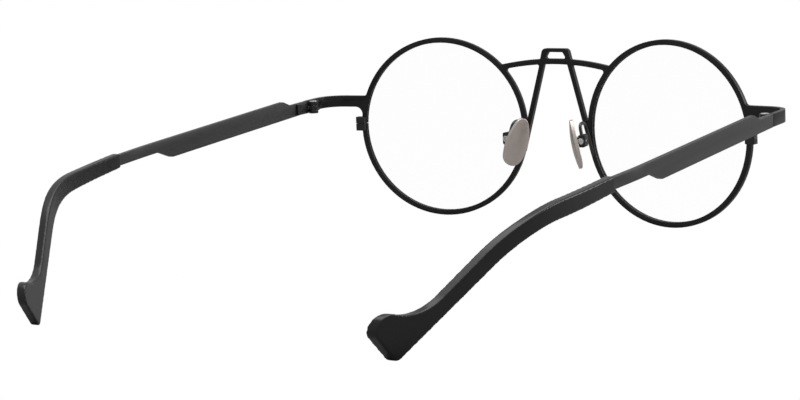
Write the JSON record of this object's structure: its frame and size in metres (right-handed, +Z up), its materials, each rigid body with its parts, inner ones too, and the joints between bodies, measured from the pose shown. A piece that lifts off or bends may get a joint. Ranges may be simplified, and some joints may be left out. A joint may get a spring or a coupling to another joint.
{
  "type": "round wire eyeglasses",
  "caption": "Round full-rim metal eyeglasses with a raised loop bridge, rocking metal nose pads on wire arms, and folding flat temples with flared tips.",
  "frame": {"origin": "on the table, under the middle of the bounding box of the open glasses lying on their rims and temple tips", "axes": "+X to the wearer's left, +Y back from the front towards the temple tips, +Z up"},
  "size_m": [0.1348, 0.1644, 0.048],
  "materials": {
    "front_metal": "satin black lacquer over sheet metal",
    "temple_metal": "satin black lacquer over sheet metal",
    "block_metal": "satin black lacquer",
    "hinge_metal": "satin black lacquer worn at the knuckle edges",
    "arm_wire": "gloss black lacquered wire",
    "screw_steel": "bright turned steel",
    "pad_metal": "warm satin silver",
    "lens_glass": "clear polished demo lens",
    "tip_acetate": "polished black acetate"
  },
  "bodies": {
    "front": {"front_frame": "front_metal", "lens_left": "lens_glass", "lens_right": "lens_glass", "closing_block_upper_left": "block_metal", "closing_block_upper_right": "block_metal", "closing_block_lower_left": "block_metal", "closing_block_lower_right": "block_metal", "closing_screw_left": "screw_steel", "closing_screw_right": "screw_steel", "pad_arm_left": "arm_wire", "pad_arm_right": "arm_wire", "pad_box_left": "arm_wire", "pad_box_right": "arm_wire", "pad_screw_left": "screw_steel", "pad_screw_right": "screw_steel", "hinge_front_knuckle_left": "hinge_metal", "hinge_front_knuckle_right": "hinge_metal", "hinge_screw_left": "hinge_metal", "hinge_screw_right": "hinge_metal"},
    "temple_left_body": {"temple_left": "temple_metal", "temple_tip_left": "tip_acetate", "hinge_temple_knuckle_left": "hinge_metal"},
    "temple_right_body": {"temple_right": "temple_metal", "temple_tip_right": "tip_acetate", "hinge_temple_knuckle_right": "hinge_metal"},
    "nose_pad_left_body": {"nose_pad_left": "pad_metal"},
    "nose_pad_right_body": {"nose_pad_right": "pad_metal"}
  },
  "joints": [
    {"name": "temple_left_fold", "type": "hinge", "parent": "front", "child": "temple_left_body", "pos_m": [0.06467, -0.06343, 0.03019], "axis": [0, 0.0111, 0.9999], "range_deg": [0, 90]},
    {"name": "temple_right_fold", "type": "hinge", "parent": "front", "child": "temple_right_body", "pos_m": [-0.06467, -0.06343, 0.03019], "axis": [0, -0.0111, -0.9999], "range_deg": [0, 84]},
    {"name": "nose_pad_left_rock", "type": "hinge", "parent": "front", "child": "nose_pad_left_body", "pos_m": [0.0107, -0.07412, 0.02216], "axis": [0.1392, 0.9902, -0.011], "range_deg": [-6, 6]},
    {"name": "nose_pad_right_rock", "type": "hinge", "parent": "front", "child": "nose_pad_right_body", "pos_m": [-0.0107, -0.07412, 0.02216], "axis": [-0.1392, 0.9902, -0.011], "range_deg": [-6, 6]}
  ]
}
